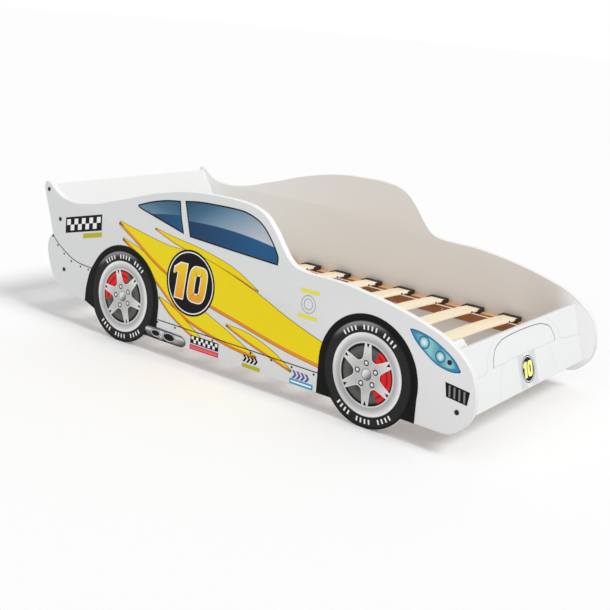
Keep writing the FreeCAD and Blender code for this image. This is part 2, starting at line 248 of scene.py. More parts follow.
def inner_paint_painted_shade():
    """White board with painted shade: it turns to a warm greige along the bed, and white again at the nose.
    """
    paint = Paint("board_inner_paint", 0.5, 0.2)
    along = paint.along(0)
    shades = [(0.0, (253, 255, 255)), (0.22, (252, 252, 250)), (0.45, (248, 244, 240)),
              (0.75, (243, 237, 232)), (0.97, (240, 234, 228)), (1.0, 254)]
    return paint.grained(paint.ramp(paint.remap(along, -0.90, 0.85, soft=False), shades), 0.04)


def wood(name, light, dark, pores, axis):
    """Planed wood whose grain runs along one axis of the bed."""
    paint = Paint(name, 0.5, 0.3)
    squeeze = [70.0, 70.0, 70.0]
    squeeze[axis] = 2.5
    mapping = paint.node("ShaderNodeMapping", {0: paint.coords()})
    mapping.inputs["Scale"].default_value = squeeze
    inputs = {"Light": light, "Dark": dark, "Pores": pores, "Vector": mapping.outputs[0]}
    grain = paint.node("ShaderNodeGroup", inputs, node_tree=WOOD)
    paint.bump(grain.outputs["Height"], 0.12, 0.0006)
    return paint.done(grain.outputs["Colour"])


def webbing():
    paint = Paint("webbing", 0.85, 0.1)
    along = paint.along(0)
    weave = paint.math("SINE", paint.math("MULTIPLY", along, 2600.0))
    paint.bump(weave, 0.4, 0.0004)
    return paint.done(paint.mix(paint.remap(weave, -1.0, 1.0), (222, 200, 178), (244, 228, 210)))


def moulded(name, light, dark):
    paint = Paint(name, 0.5, 0.3)
    paint.bump(paint.noise(paint.coords(), 1500.0), 0.2, 0.0003)
    return paint.done(paint.mix(paint.noise(paint.coords(), 25.0), light, dark))


def zinc():
    paint = Paint("zinc_steel", 0.35, 0.5)
    paint.bsdf.inputs["Metallic"].default_value = 1.0
    paint.bump(paint.noise(paint.coords(), 900.0), 0.1, 0.0003)
    return paint.done(paint.mix(paint.noise(paint.coords(), 90.0), (196, 198, 202), (168, 170, 176)))


def window_glass(name, left, right, rise, dull, bright):
    """Printed glass: a dark band under a curved skyline, and a sky whose light changes along it."""
    paint = Paint(name, 0.35, 0.16)
    place = paint.split(paint.coords())
    x, z = place[0], place[2]
    across = paint.math("ADD", x, 0.07)
    curve = paint.math("MULTIPLY", paint.math("MULTIPLY", across, across), -0.30)
    level = paint.math("SUBTRACT", z, paint.math("ADD", curve, rise))
    sky_x = paint.remap(x, left, right, dull, bright, soft=False)
    sky_z = paint.remap(level, 0.0, 0.07, 0.25, 0.0, soft=False)
    sky = paint.ramp(paint.math("ADD", sky_x, sky_z),
                     [(0.0, (36, 74, 104)), (0.3, (72, 114, 144)), (0.6, (136, 164, 186)),
                      (1.0, (206, 210, 218))])
    deep = paint.ramp(paint.remap(x, left, right, soft=False), [(0.0, (26, 56, 94)), (1.0, (32, 92, 138))])
    return paint.grained(paint.mix(paint.remap(level, -0.0015, 0.0015), deep, sky), 0.04)


class RoundInk(Paint):
    """Ink of a round print, which knows its distance from the centre (1 at the edge) and direction."""

    def __init__(self, name, rough, gloss=0.14):
        super().__init__(name, rough, gloss)
        place = self.split(self.coords("UV"))
        self.u, self.v = place[0], place[1]
        square = self.math("ADD", self.math("MULTIPLY", self.u, self.u),
                           self.math("MULTIPLY", self.v, self.v))
        self.reach = self.math("SQRT", square)

    def toward(self, angle):
        turn = math.radians(angle)
        return self.math("ADD", self.math("MULTIPLY", self.u, math.cos(turn)),
                         self.math("MULTIPLY", self.v, math.sin(turn)))

    def glow(self, angle, low, high, most):
        """0 up to most, towards one side of the print."""
        return self.remap(self.toward(angle), low, high, 0.0, most)


def tyre_ink():
    """Near black rubber with a soft light on its upper shoulder."""
    paint = RoundInk("tyre_ink", 0.5, 0.1)
    base = paint.ramp(paint.reach, [(0.76, 26), (0.79, 42), (0.93, 43), (0.97, 20), (1.0, 12)])
    lit = paint.math("MULTIPLY", paint.glow(106, 0.66, 0.96, 0.8),
                     paint.math("MULTIPLY", paint.remap(paint.reach, 0.84, 0.94),
                                paint.remap(paint.reach, 0.985, 0.95)))
    return paint.grained(paint.mix(lit, base, (165, 165, 165)), 0.1)


def lip_ink():
    """Turned metal of the rim, darker at two sides."""
    paint = RoundInk("rim_lip_ink", 0.35)
    scale = paint.remap(paint.reach, WELL_R / TYRE_R, LIP_R / TYRE_R, soft=False)
    base = paint.ramp(scale, [(0.0, 214), (0.08, 226), (0.22, (182, 182, 183)),
                              (0.42, (200, 200, 201)), (0.62, 222), (0.84, (250, 250, 249)),
                              (0.97, (244, 244, 243)), (1.0, 150)])
    low = paint.mix(paint.glow(215, 0.40, 0.78, 0.30), base, (120, 120, 122))
    return paint.grained(paint.mix(paint.glow(60, 0.45, 0.76, 0.22), low, (150, 150, 152)), 0.1)


def spoke_ink():
    paint = RoundInk("spoke_ink", 0.35)
    base = paint.ramp(paint.reach, [(0.0, 190), (0.14, 206), (0.28, 206),
                                    (0.5, (236, 236, 235)), (0.58, 240)])
    return paint.grained(paint.mix(paint.glow(235, -0.1, 0.6, 0.25), base, (140, 140, 142)), 0.08)


def well_ink(name, brake, half):
    """Dark wheel well with the brake showing round one direction."""
    paint = RoundInk(name, 0.5)
    grey = paint.ramp(paint.reach, [(0.29, 30), (0.33, (72, 72, 70)), (0.45, (98, 98, 95)),
                                    (0.515, (88, 88, 86)), (0.53, 20), (0.58, 12)])
    red = paint.ramp(paint.reach, [(0.30, (140, 14, 14)), (0.35, (238, 38, 36)), (0.42, (226, 32, 32)),
                                   (0.45, (130, 12, 16)), (0.475, (232, 36, 36)), (0.53, (240, 42, 40)),
                                   (0.552, (60, 6, 8)), (0.57, (14, 12, 12))])
    facing = paint.math("DIVIDE", paint.toward(brake), paint.reach)
    edge = math.cos(math.radians(half))
    return paint.grained(paint.mix(paint.remap(facing, edge - 0.07, edge + 0.09), grey, red), 0.08)


def cap_ink():
    paint = RoundInk("hub_cap_ink", 0.3)
    base = paint.mix(paint.glow(135, -0.09, 0.06, 1.0), (118, 118, 117), (240, 240, 239))
    return paint.grained(paint.mix(paint.remap(paint.reach, 0.092, 0.106), base, (84, 84, 84)), 0.05)


def stripe_ink(name, top, bottom, lean):
    """Ink that deepens downwards and, with a lean, towards the rear."""
    paint = Paint(name, 0.4, 0.14)
    place = paint.split(paint.coords())
    level = paint.math("ADD", place[2], paint.math("MULTIPLY", place[0], lean))
    return paint.grained(paint.mix(paint.remap(level, 0.40, 0.16), top, bottom), 0.12)


def lamp_ink():
    paint = Paint("lamp_ink", 0.25, 0.2)
    along = paint.along(0)
    shades = [(0.0, (52, 128, 168)), (0.2, (110, 190, 206)), (0.4, (150, 216, 218)),
              (0.6, (76, 156, 184)), (0.8, (160, 216, 224)), (1.0, (60, 130, 168))]
    return paint.grained(paint.ramp(paint.remap(along, 0.73, 0.905, soft=False), shades), 0.05)


def lens_ink():
    paint = RoundInk("lamp_lens_ink", 0.2, 0.2)
    return paint.grained(paint.ramp(paint.reach, [(0.0, 255), (0.4, (214, 244, 246)),
                                                  (0.8, (128, 200, 214)), (1.0, (60, 140, 176))]), 0.05)


def pipe_ink():
    """Round metal, dark above and below, with bright bands across it."""
    paint = Paint("exhaust_ink", 0.3, 0.2)
    place = paint.split(paint.coords("UV"))
    round_off = paint.ramp(paint.remap(place[1], -1.0, 1.0, soft=False),
                           [(0.0, (16, 16, 18)), (0.25, (48, 48, 51)), (0.5, (112, 113, 116)),
                            (0.72, (236, 237, 240)), (0.86, (140, 141, 144)), (1.0, (36, 36, 38))])
    shine = paint.ramp(paint.remap(place[0], -5.2, 4.9, soft=False),
                       [(0.0, 0), (0.1, 90), (0.25, 20), (0.40, 235), (0.5, 70), (0.72, 190), (0.9, 120),
                        (1.0, 0)])
    fade = paint.remap(paint.math("ABSOLUTE", place[1]), 1.0, 0.35)
    return paint.grained(paint.mix(paint.math("MULTIPLY", shine, fade), round_off, (236, 237, 239)), 0.1)


DARK_INKS = {
    "black": (16, 16, 17),
    "navy": (24, 32, 40),
    "line": (20, 20, 22),
}
INKS = {
    "grey": (140, 141, 144),
    "light_grey": (206, 207, 209),
    "white": (252, 252, 252),
    "magenta": (226, 36, 150),
    "orange": (240, 122, 44),
    "olive": (196, 188, 34),
    "cyan": (38, 164, 206),
    "violet": (98, 88, 168),
    "lemon": (246, 238, 84),
    "edge_brown": (116, 92, 26),
    "blue_line": (26, 96, 146),
    "lamp_edge": (58, 146, 188),
}
FINISHES = {
    # side board faces: white lacquer, lighter towards the nose as painted light
    "board": board_paint_painted_light("board_paint_painted_light", (231, 232, 233), (238, 238, 238)),
    # end boards: a darker copy of the same lacquer as painted shade, darkest on the front board at the nose
    "end": board_paint_painted_light("end_board_paint", (228, 229, 229), (223, 224, 224)),
    # board edging: darker low down as painted shade
    "edge": edge_band_painted_shade(),
    # inside faces of the side boards: white with painted shade
    "inner": inner_paint_painted_shade(),
    "slat": wood("slat_wood", (253, 240, 214), (248, 230, 198), (232, 204, 164), 1),
    "slat_under": wood("slat_underside", (240, 238, 234), (230, 227, 222), (212, 206, 198), 1),
    # rail pine as lit and shaded copies: darker sides as painted shade, lighter top as painted light
    "pine": wood("pine", (176, 112, 66), (156, 94, 50), (112, 64, 32), 0),
    "pine_top_painted_light": wood("pine_top_painted_light", (232, 190, 146), (218, 172, 124), (176, 126, 82), 0),
    "webbing": webbing(),
    "plastic": moulded("holder_plastic", (52, 38, 31), (34, 25, 21)),
    "black_plastic": moulded("black_plastic", (24, 24, 26), (14, 14, 16)),
    "steel": zinc(),
    "yellow": stripe_ink("ink_yellow", (252, 226, 16), (252, 228, 22), 0.3),
    "amber": stripe_ink("ink_amber", (252, 182, 34), (236, 138, 40), 0.3),
    "digit": stripe_ink("ink_digit", (255, 226, 40), (244, 150, 40), 0.0),
    "glass_front": window_glass("glass_front", -0.21, 0.14, 0.497, 0.0, 0.72),
    "glass_rear": window_glass("glass_rear", -0.47, -0.20, 0.513, 0.34, 0.0),
    "tyre": tyre_ink(),
    "lip": lip_ink(),
    "spoke": spoke_ink(),
    "well_front": well_ink("wheel_well_front_ink", 2, 60),
    "well_rear": well_ink("wheel_well_rear_ink", 134, 62),
    "cap": cap_ink(),
    "lamp": lamp_ink(),
    "lens": lens_ink(),
    "pipe": pipe_ink(),
}
for inks, gloss in ((DARK_INKS, 0.1), (INKS, 0.14)):
    for key, rgb in inks.items():
        FINISHES[key] = ink("ink_" + key, rgb, gloss)


def placed(name, data):
    """New object in the scene."""
    made = bpy.data.objects.new(name, data)
    scene.collection.objects.link(made)
    return made


def piece(name, bm, keys, replaced=(), sharp=None):
    """Turn a finished bmesh into a piece of the bed."""
    mesh = bpy.data.meshes.new(name)
    bm.to_mesh(mesh)
    bm.free()
    for key in keys:
        mesh.materials.append(FINISHES[key])
    made = placed(name, mesh)
    if sharp is not None:
        mesh.shade_smooth()
        mesh.set_sharp_from_angle(angle=math.radians(sharp))
    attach(made, "root")
    if replaced:
        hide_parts(*replaced)
    return made


# -------- curves in a board's plane
def polar(x, z, r, angle):
    turn = math.radians(angle)
    return (x + r * math.cos(turn), z + r * math.sin(turn))


def arc(x, z, r, start, end, count):
    return [polar(x, z, r, start + (end - start) * k / count) for k in range(count + 1)]


def oval(x, z, wide, tall, sides, power=1.0):
    """Closed oval of given half width and half height, squarer with a power under 1."""
    out = []
    for k in range(sides):
        turn = 2 * math.pi * k / sides
        c, s = math.cos(turn), math.sin(turn)
        out.append((x + wide * math.copysign(abs(c) ** power, c),
                    z + tall * math.copysign(abs(s) ** power, s)))
    return out


def smooth(points, steps=8):
    """Curve through the points from first to last."""
    pts = [Vector(p) for p in points]
    if len(pts) < 3:
        return list(points)
    pts = [pts[0] * 2 - pts[1]] + pts + [pts[-1] * 2 - pts[-2]]
    out = []
    for a, b, c, d in zip(pts, pts[1:], pts[2:], pts[3:]):
        for k in range(steps):
            s = k / steps
            out.append(tuple(0.5 * (2 * b + (c - a) * s + (2 * a - 5 * b + 4 * c - d) * s * s
                                    + (3 * b - a - 3 * c + d) * s ** 3)))
    out.append(tuple(pts[-2]))
    return out


def figure(runs):
    """Closed figure from curves that meet at corners."""
    out = []
    for run in runs:
        out += smooth(run)[:-1]
    return out


def edges_of(points, widths):
    """Left and right edge of a band along a curve, with its half width at each point."""
    pts = [Vector(p) for p in points]
    left, right = [], []
    for k, half in enumerate(widths):
        heading = (pts[min(k + 1, len(pts) - 1)] - pts[max(k - 1, 0)]).normalized()
        n = Vector((-heading.y, heading.x)) * max(half, THIN_END)
        left.append(tuple(pts[k] + n))
        right.append(tuple(pts[k] - n))
    return left + right[::-1]


def band(points, width):
    return edges_of(points, [width / 2] * len(points))


def ribbon(points, widths):
    """Band along a curve whose half width changes from point to point."""
    wide = [w[0] for w in smooth([(w, 0.0) for w in widths], RIBBON_STEPS)]
    return edges_of(smooth(points, RIBBON_STEPS), wide)


def slant(x, z, wide, tall, turn, shear):
    """Matrix that lays a unit square as a turned and sheared bar with its middle at x, z."""
    lean = Matrix(((1, shear, 0, 0), (0, 1, 0, 0), (0, 0, 1, 0), (0, 0, 0, 1)))
    return (Matrix.Translation((x, z, 0)) @ Matrix.Rotation(math.radians(turn), 4, "Z") @ lean
            @ Matrix.Diagonal((wide, tall, 1, 1)))


# -------- prints on a board face
class Wall:
    """Face of a board that carries prints, with its own plane in millimetres."""

    def __init__(self, tag, origin, u, v, outward):
        self.tag = tag
        self.origin = Vector(origin)
        self.axes = (Vector(u), Vector(v), Vector(outward))

    def matrix(self, level):
        lift = self.axes[2] * (PRINT_GAP + PRINT_STEP * level)
        turn = Matrix(self.axes).transposed().to_4x4()
        return Matrix.Scale(0.001, 4) @ Matrix.Translation(self.origin + lift) @ turn


class Print:
    """Thin printed shapes of one layer, drawn flat and then laid on a wall.

    The UV map is 0 at the centre and 1 at one size from it.
    """

    def __init__(self, centre=(0.0, 0.0), size=1000.0):
        self.bm = bmesh.new()
        self.centre = Vector(centre)
        self.size = size

    def shape(self, points):
        face = self.bm.faces.new([self.bm.verts.new((x, z, 0)) for x, z in points])
        face.normal_update()
        return face

    def shapes(self, figures):
        for points in figures:
            self.shape(points)
        return self

    def disc(self, x, z, r, sides):
        made = bmesh.ops.create_circle(self.bm, cap_ends=True, radius=r, segments=sides,
                                       matrix=Matrix.Translation((x, z, 0)))
        return made["verts"][0].link_faces[0]

    def bar(self, x, z, wide, tall, turn=0.0, shear=0.0):
        made = bmesh.ops.create_grid(self.bm, x_segments=1, y_segments=1, size=0.5,
                                     matrix=slant(x, z, wide, tall, turn, shear))
        face = made["verts"][0].link_faces[0]
        face.normal_update()
        return face

    def chequers(self, x, z, cell, columns, rows, turn, shear):
        """The pale cells of a chequered bar."""
        made = bmesh.ops.create_grid(self.bm, x_segments=columns, y_segments=rows, size=0.5)
        cells = {f for v in made["verts"] for f in v.link_faces}
        dark = []
        for face in cells:
            middle = face.calc_center_median()
            if (int((middle.x + 0.5) * columns) + int((middle.y + 0.5) * rows)) % 2 == 0:
                dark.append(face)
        bmesh.ops.transform(self.bm, verts=made["verts"],
                            matrix=slant(x, z, cell * columns, cell * rows, turn, shear))
        bmesh.ops.delete(self.bm, geom=dark, context="FACES")
        return self

    def step_in(self, face, width, index):
        """Move a face's edge inwards and give what is inside another colour."""
        bmesh.ops.inset_individual(self.bm, faces=[face], thickness=width, depth=0, use_even_offset=True)
        face.material_index = index
        return face

    def hollow(self, face, width):
        """Keep only a band of a given width along a face's edge."""
        self.step_in(face, width, 0)
        bmesh.ops.delete(self.bm, geom=[face], context="FACES_ONLY")

    def ring(self, x, z, inner, width, sides=96):
        self.hollow(self.disc(x, z, inner + width, sides), width)
        return self

    def cut_below(self, level):
        bmesh.ops.bisect_plane(self.bm, geom=self.bm.verts[:] + self.bm.edges[:] + self.bm.faces[:],
                               plane_co=(0, level, 0), plane_no=(0, -1, 0), clear_outer=True)

    def lay(self, wall, name, keys, level):
        """Lay the layer on a wall, the levels counted from the board outwards."""
        bm = self.bm
        bm.normal_update()
        bmesh.ops.reverse_faces(bm, faces=[f for f in bm.faces if f.normal.z < 0])
        uv = bm.loops.layers.uv.new("UVMap")
        for face in bm.faces:
            for loop in face.loops:
                loop[uv].uv = (loop.vert.co.xy - self.centre) / self.size
        matrix = wall.matrix(level)
        bmesh.ops.transform(bm, matrix=matrix, verts=bm.verts)
        if matrix.determinant() < 0:
            bmesh.ops.reverse_faces(bm, faces=bm.faces)
        return piece("%s_%s" % (name, wall.tag), bm, keys.split())


# -------- boards and slats with eased edges
def block(x, y, z):
    """Box about the origin, from its sizes in millimetres."""
    bm = bmesh.new()
    bmesh.ops.create_cube(bm, size=1.0)
    bmesh.ops.scale(bm, vec=Vector((x, y, z)) / 1000, verts=bm.verts)
    return bm


def merged_copy(node):
    """A carried piece's mesh, its loose triangles joined."""
    bm = bmesh.new()
    bm.from_mesh(NODES[node].data)
    bmesh.ops.remove_doubles(bm, verts=bm.verts, dist=1e-6)
    return bm


def long_edges(bm):
    """Edges that run across the bed."""
    return [e for e in bm.edges if abs((e.verts[0].co - e.verts[1].co).y) > 0.1]


def sharp_edges(bm):
    return [e for e in bm.edges if e.calc_face_angle(0.0) > math.radians(SHARP)]


def ease_edges(bm, edges, width=BOARD_EASE, segments=3):
    bmesh.ops.bevel(bm, geom=edges, offset=width / 1000, offset_type="OFFSET", segments=segments,
                    profile=0.5, affect="EDGES", clamp_overlap=True, material=-1)
    bm.normal_update()


def rim_loop(node):
    """Outer outline of a flat side board, in order, from the edges of its broad face."""
    bm = merged_copy(node)
    side = max(v.co.y for v in bm.verts)
    links = {}
    for edge in bm.edges:
        if min(v.co.y for v in edge.verts) < side - 1e-5:
            continue
        flat = [abs(f.normal.y) > FACING for f in edge.link_faces]
        if flat[0] != flat[1]:
            a, b = edge.verts
            links.setdefault(a, []).append(b)
            links.setdefault(b, []).append(a)
    best = []
    seen = set()
    for start in links:
        loop = []
        spot = start
        while spot is not None and spot not in seen:
            loop.append(spot)
            seen.add(spot)
            spot = next((v for v in links[spot] if v not in seen), None)
        if len(loop) > len(best):
            best = loop
    points = [v.co.copy() for v in best]
    bm.free()
    return points


def side_board(node, side):
    """Side board with a softly rounded rim, white outside, and inside white with painted shade that turns
    warm greige.
    """
    bm = bmesh.new()
    outer = side * HALF_WIDTH / 1000
    rim = [bm.verts.new((p.x, outer, p.z)) for p in rim_loop(node)]
    face = bm.faces.new(rim)
    grown = bmesh.ops.extrude_face_region(bm, geom=[face], use_keep_orig=True)
    moved = [v for v in grown["geom"] if isinstance(v, bmesh.types.BMVert)]
    bmesh.ops.translate(bm, vec=(0, -side * BOARD / 1000, 0), verts=moved)
    bmesh.ops.recalc_face_normals(bm, faces=bm.faces)
    broad = sorted(bm.faces, key=lambda f: f.calc_area())[-2:]
    ease_edges(bm, [e for f in broad for e in f.edges])
    for face in bm.faces:
        out = face.normal.y * side
        face.material_index = 0 if out > FLAT else 1 if out < -FLAT else 2
    return piece(node + "_dressed", bm, ["board", "inner", "edge"], [node], SHARP)


def end_board(node, top, lean, height):
    """Flat board between the sides, with softened long edges."""
    bm = block(BOARD, 2 * (HALF_WIDTH - BOARD), height)
    bmesh.ops.translate(bm, vec=Vector((-BOARD / 2, 0, -height / 2)) / 1000, verts=bm.verts)
    ease_edges(bm, long_edges(bm))
    for face in bm.faces:
        face.material_index = 0 if abs(face.normal.x) > FLAT else 1
    place = Matrix.Translation(Vector((top[0], 0, top[1])) / 1000)
    turn = Matrix.Rotation(math.radians(lean), 4, "Y")
    bmesh.ops.transform(bm, matrix=place @ turn, verts=bm.verts)
    return piece(node + "_dressed", bm, ["end", "edge"], [node], SHARP)


def eased_copy(node, key, width, top=None):
    """A carried piece with its sharp edges taken off, and if given a second finish for its top, which for
    the rails is a lighter copy of the pine as painted light.
    """
    bm = merged_copy(node)
    bmesh.ops.dissolve_limit(bm, angle_limit=math.radians(1), verts=bm.verts, edges=bm.edges,
                             delimit={"NORMAL"})
    ease_edges(bm, sharp_edges(bm), width, 2)
    if top:
        for face in bm.faces:
            face.material_index = int(face.normal.z > FACING)
    return piece(node + "_dressed", bm, [key, top] if top else [key], [node], SHARP)


def slat(number, x):
    """Bowed strip of laminated birch with eased edges and a paler underside."""
    bm = block(SLAT_WIDTH, SLAT_SPAN, SLAT_THICK)
    bmesh.ops.subdivide_edges(bm, edges=long_edges(bm), cuts=SLAT_CUTS, use_grid_fill=True)
    middle = (SLAT_SEAT + SLAT_THICK / 2) / 1000
    half = SLAT_SPAN / 2000
    for v in bm.verts:
        bow = SLAT_RISE / 1000 * (1 - (v.co.y / half) ** 2)
        v.co += Vector((x / 1000, 0, middle + bow))
    bm.normal_update()
    ease_edges(bm, sharp_edges(bm))
    for face in bm.faces:
        face.material_index = int(face.normal.z < -FACING)
    return piece("slat_%02d_dressed" % number, bm, ["slat", "slat_under"],
                 ["slat_%02d" % number], SLAT_SHARP)


def plain_finish(node, key):
    """Give a carried piece a finish and leave its shape."""
    NODES[node].data.materials.clear()
    NODES[node].data.materials.append(FINISHES[key])


# -------- wheel print
# each wheel: its place, and the angles of its first spoke and its first nut
WHEELS = (("front", FRONT_AXLE, 31.5, 24), ("rear", REAR_AXLE, 49.0, 38))
TYRE_RISE = 3.5
TYRE_SPARE = 1.4
FLOOR_GAP = 1.0
MARK_R = 143.0
MARK_LONG, MARK_WIDE = 14.5, 5.6
MARK_GROUPS = (121, 90, 59, 238, 270, 302)
MARKS = 4
MARK_PITCH = 6.0
SPOKES = 6
SPOKE_ROOT = 46.6
SPOKE_EDGE = 2.0
OPENING_HALF, WELL_HALF, OPENING_BEND = 24.2, 23.0, 3.4
FORK_R, FORK_TIP_R, FORK_HALF = 94.5, 80.5, 3.3
NUTS = 5
NUT_RING = 35.0
NUT_R, NUT_EDGE = 9.2, 3.2
STUD_R, STUD_SHIFT = 4.0, (-0.8, 1.2)
CAP_R = 18.0


def opening(x, middle, root, half):
    """Opening between two spokes: rounded at the hub, wide at the rim."""
    steps = 12
    rim = WELL_R + 0.5
    points = arc(x, AXLE_Z, rim, middle + half, middle - half, steps)
    for k in range(1, 2 * steps):
        part = k / steps - 1
        reach = root + (rim - root) * abs(part) ** OPENING_BEND
        points.append(polar(x, AXLE_Z, reach, middle + half * part))
    return points


def wheel(wall, tag, x, first_spoke, first_nut):
    """Printed wheel: tyre, rim, brake, forked spokes, nuts and hub cap."""
    def layer():
        return Print((x, AXLE_Z), TYRE_R)

    tyre = layer()
    tyre.disc(x, AXLE_Z + TYRE_RISE, TYRE_R + TYRE_SPARE, 120)
    tyre.cut_below(FLOOR_GAP)
    tyre.lay(wall, "tyre_" + tag, "tyre", DISC_LEVEL + 1)
    marks = layer()
    for group in MARK_GROUPS:
        for k in range(MARKS):
            at = group + (k - (MARKS - 1) / 2) * MARK_PITCH
            marks.bar(*polar(x, AXLE_Z, MARK_R, at), MARK_LONG, MARK_WIDE, at)
    marks.lay(wall, "tyre_marks_" + tag, "white", DISC_LEVEL + 2)

    spokes = layer()
    spokes.disc(x, AXLE_Z, WELL_R + 1, 72)
    spokes.lay(wall, "spokes_" + tag, "spoke", DISC_LEVEL + 2)
    shine, wells, forks = layer(), layer(), layer()
    for k in range(SPOKES):
        at = first_spoke + 360 / SPOKES * k
        shine.shape(opening(x, at + 30, SPOKE_ROOT, OPENING_HALF))
        wells.shape(opening(x, at + 30, SPOKE_ROOT + SPOKE_EDGE, WELL_HALF))
        forks.shape(arc(x, AXLE_Z, FORK_R, at - FORK_HALF, at + FORK_HALF, 2)
                    + [polar(x, AXLE_Z, FORK_TIP_R, at)])
    shine.lay(wall, "spoke_edges_" + tag, "white", DISC_LEVEL + 3)
    wells.lay(wall, "wheel_wells_" + tag, "well_" + tag, DISC_LEVEL + 4)
    forks.lay(wall, "spoke_forks_" + tag, "black", DISC_LEVEL + 4)

    layer().ring(x, AXLE_Z, WELL_R, LIP_R - WELL_R).lay(wall, "rim_lip_" + tag, "lip", DISC_LEVEL + 5)
    nuts, studs = layer(), layer()
    for k in range(NUTS):
        nut_x, nut_z = polar(x, AXLE_Z, NUT_RING, first_nut + 360 / NUTS * k)
        nuts.step_in(nuts.disc(nut_x, nut_z, NUT_R, 24), NUT_EDGE, 1)
        studs.disc(nut_x + STUD_SHIFT[0], nut_z + STUD_SHIFT[1], STUD_R, 16)
    nuts.lay(wall, "wheel_nuts_" + tag, "line light_grey", DISC_LEVEL + 5)
    studs.lay(wall, "nut_shine_" + tag, "white", DISC_LEVEL + 6)
    cap = layer()
    cap.disc(x, AXLE_Z, CAP_R, 40)
    cap.lay(wall, "hub_cap_" + tag, "cap", DISC_LEVEL + 5)


def arch_front():
    """Black arch of the front wheel, down to the sill behind it and the apron before it."""
    x = FRONT_AXLE
    sill, apron = 57.2, 66.2
    foot = [(x - ARCH_R, sill), (x, sill), (x, apron), (x + 181, apron - 1)]
    return foot + arc(x, AXLE_Z, ARCH_R, -8, 180, 64)


def arch_rear():
    """Black arch of the rear wheel, fuller behind it."""
    x = REAR_AXLE
    apron, sill = 86.0, 53.0
    foot = [(x - 201, 105), (x - 146, apron), (x, apron), (x, sill), (x + 180, sill)]
    top = arc(x, AXLE_Z, ARCH_R, -4, 150, 56)
    back = smooth([top[-1], (x - 180, 222), (x - 192, 185), (x - 199, 145), foot[0]], 4)
    return foot + top + back[1:-1]


# -------- other prints of the side boards
REAR_WINDOW = (
    [(-446, 506), (-431, 494.5), (-331, 471), (-210.5, 443.5)],
    [(-210.5, 443.5), (-227, 500), (-236.5, 555)],
    [(-236.5, 555), (-290, 549), (-340, 539), (-392, 525), (-446, 506)])
FRONT_WINDOW = (
    [(-182.5, 439), (3.5, 429.5), (212.5, 420.5)],
    [(212.5, 420.5), (213.5, 446), (200, 472), (179.5, 500), (152, 530), (120, 552), (78.5, 566),
     (34.5, 572), (-55.5, 571.5), (-147.5, 567.5), (-215.5, 559)],
    [(-215.5, 559), (-182.5, 439)])
WINDOW_SEAL = 5.0

# each joint: its line and its width
JOINTS = (([(-309.5, 122), (40, 121.5), (404, 120)], 3.2),
          ([(-899.5, 316), (-867.5, 289), (-824.5, 265), (-781.5, 246), (-734.5, 235), (-679, 231.5),
            (-660, 230)], 3.0))
RIVETS = ((-310, 113.5), (-223, 113.5), (-45, 113), (126, 112.5), (215, 112), (301, 111.5), (390, 111),
          (-898.5, 308), (-866.5, 279), (-827.5, 254), (-784.5, 234), (-731.5, 224), (-687, 222))
RIVET_R = 3.8

# each stripe: its line, its half widths along that, and how far its amber edge hangs below
MAIN_STRIPES = (
    ([(-536, 432), (-430, 396), (-300, 352), (-120, 314), (90, 264), (260, 216), (424, 180)],
     [0, 18, 42, 68, 62, 48, 34], 11.0),)
MINOR_STRIPES = (
    ([(-512, 376), (-410, 336), (-300, 270), (-170, 196), (0, 144), (150, 106)],
     [0, 12, 27, 34, 22, 0], 9.0),
    ([(-312, 206), (-240, 168), (-150, 124), (-75, 92)], [0, 13, 11, 0], 7.0),
    ([(-352, 440), (-250, 416), (-130, 396), (20, 366), (140, 322)], [0, 8, 13, 10, 0], 4.0),
    ([(10, 182), (110, 162), (210, 134), (300, 100)], [0, 12, 10, 0], 7.0))
STRIPE_OUTLINE = 1.6

# each bar: name, inks, middle, width, height, turn, shear and border
BARS = (("rear_bar", "olive", -676, 352, 104, 17, 13, 0.2, 0),
        ("sill_bar_pink", "magenta orange", -81, 68, 134, 17, 0, 0, 4.5),
        ("sill_bar_olive", "olive", 132, 66, 78, 13, 0, 0, 0),
        ("sill_bar_blue", "cyan white", 343, 68, 94, 17, 0, 0, 5.5),
        ("wing_bar_upper", "lemon", 350, 366, 76, 12, 0, 0, 0),
        ("wing_bar_lower", "lemon", 346, 284, 76, 12, 0, 0, 0))

# each chequered band: name, middle, width, height, cell, columns, turn and shear
CHEQUERS = (("rear", -728, 386, 204, 58, 21, 9, 13, 0.2), ("sill", -81, 94, 130, 28, 11, 11, 0, 0))
# each row of chevrons: name, ink, middle, height and pitch
CHEVRONS = (("dark", "black", 122, 90, 24, 16), ("violet", "violet", 334, 91, 25, 17))
# middle, inner radii and line width of the ringed mark
RINGS = (348, 325, (27, 16), 1.8)
SIDE_ROUNDEL = dict(place=(-165, 283), r=114, sides=72, edges=(7, 4), tall=122, bold=4.0, lean=0.12)

HEADLAMP = (
    [(909, 257), (903, 251.5), (873, 248), (828, 257), (786, 281), (750, 309), (729, 336)],
    [(729, 336), (731, 340.5), (760, 340), (804, 330), (851, 308), (887, 284), (909, 257)])
HEADLAMP_MIDDLE = Vector((818, 294, 0))
# each tone of the headlamp: name, ink and share of its size
HEADLAMP_TONES = (("headlamp_rim", "blue_line", 1.0), ("headlamp_edge", "lamp_edge", 0.94),
                  ("headlamp", "lamp", 0.80))
LAMPS = (("rear", 780, 311, 17), ("front", 838, 283, 15))
LAMP_RING = 2.4

INTAKE = [(868, 174), (938, 166), (944, 206), (862, 216)]
INTAKE_RIM = 2.4
FINS = 4
FIRST_FIN = (876.0, 177.0)
FIN_STEP = (16.5, -1.8)
FIN_WIDE, FIN_TALL, FIN_LEAN, FIN_DROP = 6.0, 32.6, 2.0, 0.6

